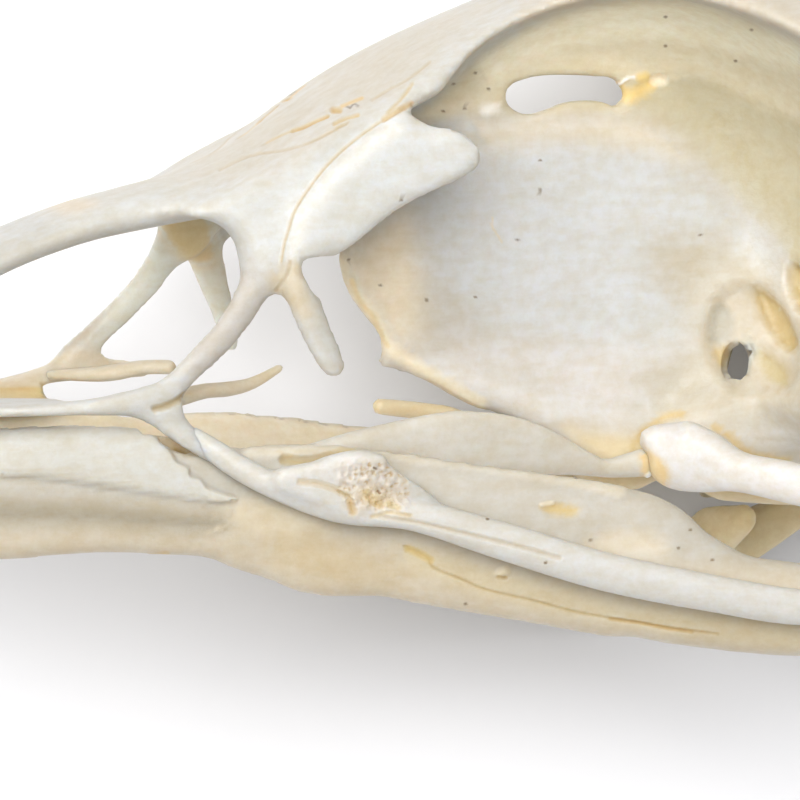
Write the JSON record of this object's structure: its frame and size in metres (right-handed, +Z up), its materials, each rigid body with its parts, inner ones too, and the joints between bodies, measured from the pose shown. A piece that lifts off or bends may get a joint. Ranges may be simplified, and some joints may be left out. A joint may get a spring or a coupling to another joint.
{
  "type": "bird skull",
  "caption": "Cleaned skull of a chukar partridge with its lower jaw, life size, lying on its right side.",
  "frame": {"origin": "centre of the whole's bounding box on the floor that it lies on", "axes": "+Z up from the floor; the beak points to -X, the crown to +Y; the skull lies on its right side, so its left side faces up"},
  "size_m": [0.0542, 0.0252, 0.0245],
  "materials": {
    "ivory_bone": "dry waxy bone, pale ivory",
    "cream_bone": "dry waxy bone, warmer cream"
  },
  "bodies": {
    "root": {"braincase": "cream_bone", "forehead": "ivory_bone", "interorbital_septum": "ivory_bone", "jugal_bar_L": "ivory_bone", "lacrimal_L": "ivory_bone", "lacrimal_R": "ivory_bone", "mandible_L": "cream_bone", "mandible_R": "cream_bone", "maxilla_L": "ivory_bone", "maxilla_R": "ivory_bone", "maxillopalatine_L": "ivory_bone", "maxillopalatine_R": "ivory_bone", "nasal_L": "ivory_bone", "nasal_R": "ivory_bone", "palatine_L": "ivory_bone", "palatine_R": "ivory_bone", "premaxilla": "ivory_bone", "pterygoid_L": "cream_bone", "pterygoid_R": "cream_bone", "quadrate_L": "cream_bone", "quadrate_R": "cream_bone", "vomer": "cream_bone"}
  },
  "joints": []
}
